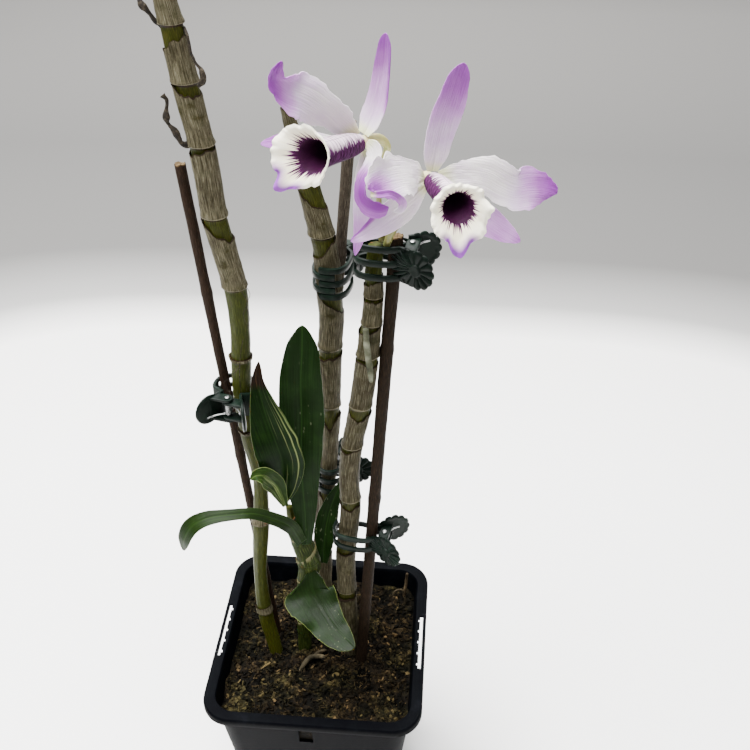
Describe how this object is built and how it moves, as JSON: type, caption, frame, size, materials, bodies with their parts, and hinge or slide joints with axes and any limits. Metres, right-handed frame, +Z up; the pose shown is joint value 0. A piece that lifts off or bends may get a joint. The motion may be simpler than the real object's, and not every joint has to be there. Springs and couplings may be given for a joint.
{
  "type": "dendrobium orchid in a nursery pot",
  "caption": "Flowering dendrobium orchid with jointed canes, a leafy shoot, support sticks and spring clips in a square black nursery pot.",
  "frame": {"origin": "middle of the pot's flat underside", "axes": "+Z up through the pot, -Y to the side that the flowers face, +X to the right seen from there"},
  "size_m": [0.1523, 0.11, 0.449],
  "materials": {
    "pot_plastic": "moulded satin",
    "bark": "rough, damp",
    "cane": "papery dry sheath",
    "stick": "stained, satin",
    "green_stem": "living stem, smooth",
    "leaf": "waxy leaf, satin",
    "flower_stalk": "living stem, smooth",
    "petal": "soft translucent petal",
    "lip": "soft translucent petal",
    "clip_plastic": "moulded satin",
    "spring_steel": "bright drawn wire",
    "dry_root": "dry, matt"
  },
  "bodies": {
    "root": {"pot": "pot_plastic", "cane_left": "cane", "cane_middle": "cane", "cane_right": "cane", "stick_left": "stick", "stick_middle": "stick", "stick_right": "stick", "shoot_stem": "green_stem", "leaf_tall": "leaf", "leaf_folded": "leaf", "leaf_curled": "leaf", "leaf_strap": "leaf", "leaf_front": "leaf", "leaf_rear": "leaf", "flower_left_stalk": "flower_stalk", "flower_left_sepal_upper": "petal", "flower_left_petal_rear": "petal", "flower_left_petal_front": "petal", "flower_left_sepal_rear": "petal", "flower_left_sepal_front": "petal", "flower_left_lip": "lip", "flower_left_column": "lip", "flower_right_stalk": "flower_stalk", "flower_right_sepal_upper": "petal", "flower_right_petal_rear": "petal", "flower_right_petal_front": "petal", "flower_right_sepal_rear": "petal", "flower_right_sepal_front": "petal", "flower_right_lip": "lip", "flower_right_column": "lip", "clip_top_right_front_jaw": "clip_plastic", "clip_top_right_pin": "spring_steel", "clip_top_middle_front_jaw": "clip_plastic", "clip_top_middle_pin": "spring_steel", "clip_low_middle_front_jaw": "clip_plastic", "clip_low_middle_pin": "spring_steel", "clip_low_right_front_jaw": "clip_plastic", "clip_low_right_pin": "spring_steel", "clip_left_front_jaw": "clip_plastic", "clip_left_pin": "spring_steel", "bark_mix": "bark", "surface_root": "dry_root", "dry_stalk": "dry_root", "aerial_root": "dry_root"},
    "clip_top_right_jaw": {"clip_top_right_back_jaw": "clip_plastic"},
    "clip_top_middle_jaw": {"clip_top_middle_back_jaw": "clip_plastic"},
    "clip_low_middle_jaw": {"clip_low_middle_back_jaw": "clip_plastic"},
    "clip_low_right_jaw": {"clip_low_right_back_jaw": "clip_plastic"},
    "clip_left_jaw": {"clip_left_back_jaw": "clip_plastic"}
  },
  "joints": [
    {"name": "clip_top_right_hinge", "type": "hinge", "parent": "root", "child": "clip_top_right_jaw", "pos_m": [0.04273, 0.00096, 0.3446], "axis": [0, 0, -1], "range_deg": [0, 30], "stiffness_Nm_per_rad": 0.005, "springref_deg": -20.05},
    {"name": "clip_top_middle_hinge", "type": "hinge", "parent": "root", "child": "clip_top_middle_jaw", "pos_m": [0.00995, 0.0393, 0.323], "axis": [0, 0, -1], "range_deg": [0, 30], "stiffness_Nm_per_rad": 0.005, "springref_deg": -20.05},
    {"name": "clip_low_middle_hinge", "type": "hinge", "parent": "root", "child": "clip_low_middle_jaw", "pos_m": [0.01082, 0.02913, 0.2125], "axis": [0, 0, -1], "range_deg": [0, 30], "stiffness_Nm_per_rad": 0.005, "springref_deg": -20.05},
    {"name": "clip_low_right_hinge", "type": "hinge", "parent": "root", "child": "clip_low_right_jaw", "pos_m": [0.03307, -0.00202, 0.193], "axis": [0, 0, -1], "range_deg": [0, 30], "stiffness_Nm_per_rad": 0.005, "springref_deg": -20.05},
    {"name": "clip_left_hinge", "type": "hinge", "parent": "root", "child": "clip_left_jaw", "pos_m": [-0.03532, -0.00428, 0.27], "axis": [0, 0, -1], "range_deg": [0, 30], "stiffness_Nm_per_rad": 0.005, "springref_deg": -20.05}
  ]
}
